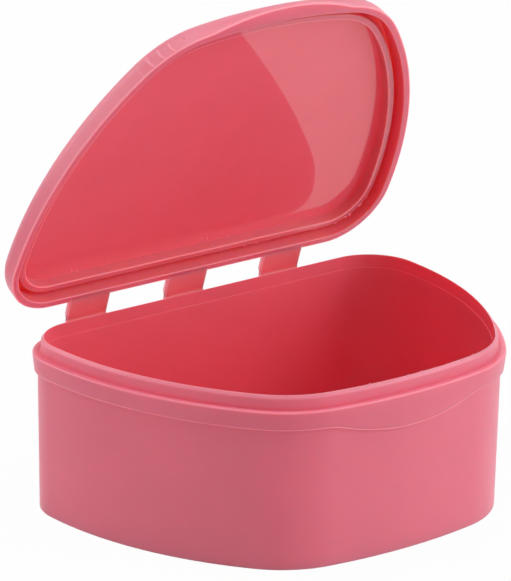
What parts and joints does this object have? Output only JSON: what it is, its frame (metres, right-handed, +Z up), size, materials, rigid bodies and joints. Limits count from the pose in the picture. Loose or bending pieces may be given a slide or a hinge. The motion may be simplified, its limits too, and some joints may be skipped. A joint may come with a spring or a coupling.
{
  "type": "denture case",
  "caption": "Rounded open box with a shallow hinged lid on living-hinge straps, a sealing lip and a thumb tab; holds a removable denture.",
  "frame": {"origin": "on the flat underside of the box, on its middle plane, halfway between the front and the back of the shoulder", "axes": "+Z up, the front with the thumb tab faces -Y, the hinge is at +Y, +X to the right seen from the front"},
  "size_m": [0.096, 0.0752, 0.1019],
  "materials": {
    "box_plastic": "satin",
    "lid_plastic": "polished inside, satin outside",
    "hinge_plastic": "satin"
  },
  "bodies": {
    "box": {"box_tub": "box_plastic", "box_leaf_left": "hinge_plastic", "box_leaf_middle": "hinge_plastic", "box_leaf_right": "hinge_plastic", "hinge_web_left": "hinge_plastic", "hinge_web_middle": "hinge_plastic", "hinge_web_right": "hinge_plastic"},
    "lid": {"lid_shell": "lid_plastic", "lid_seal_ring": "lid_plastic", "lid_thumb_tab": "lid_plastic", "lid_leaf_left": "hinge_plastic", "lid_leaf_middle": "hinge_plastic", "lid_leaf_right": "hinge_plastic"}
  },
  "joints": [
    {"name": "lid_swing", "type": "hinge", "parent": "box", "child": "lid", "pos_m": [0, 0.03935, 0.03325], "axis": [-1, 0, 0], "range_deg": [-64.2, 115.8], "deforming": ["hinge_web_left", "hinge_web_middle", "hinge_web_right"]}
  ]
}
